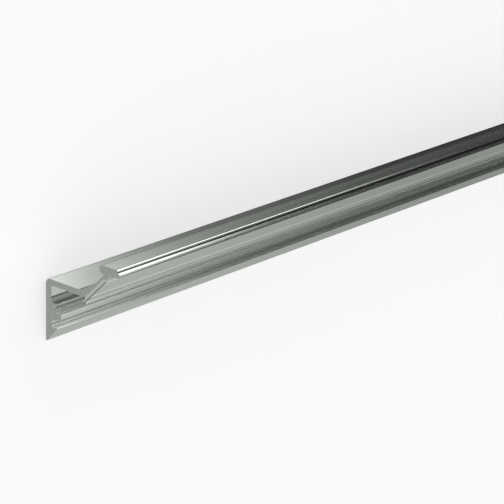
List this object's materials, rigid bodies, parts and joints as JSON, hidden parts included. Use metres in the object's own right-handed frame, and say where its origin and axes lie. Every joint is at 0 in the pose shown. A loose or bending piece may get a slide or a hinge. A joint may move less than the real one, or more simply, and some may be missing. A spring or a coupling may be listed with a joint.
{
  "type": "aluminium extrusion profile",
  "caption": "Straight bar of mill-finish aluminium extrusion: back wall, flange, leaning blade with a T-shaped head, inner hook and rib, sloped drip foot.",
  "frame": {"origin": "centre of the rectangle that the bar covers on the floor, with the outer face of the back wall on the floor", "axes": "+Y along the bar, +Z out from the back wall, -X from the drip foot towards the flange and head"},
  "size_m": [0.03, 1, 0.0307],
  "materials": {
    "aluminium": "mill finish, as extruded, with square sawn ends"
  },
  "bodies": {
    "root": {"profile_bar": "aluminium"}
  },
  "joints": []
}
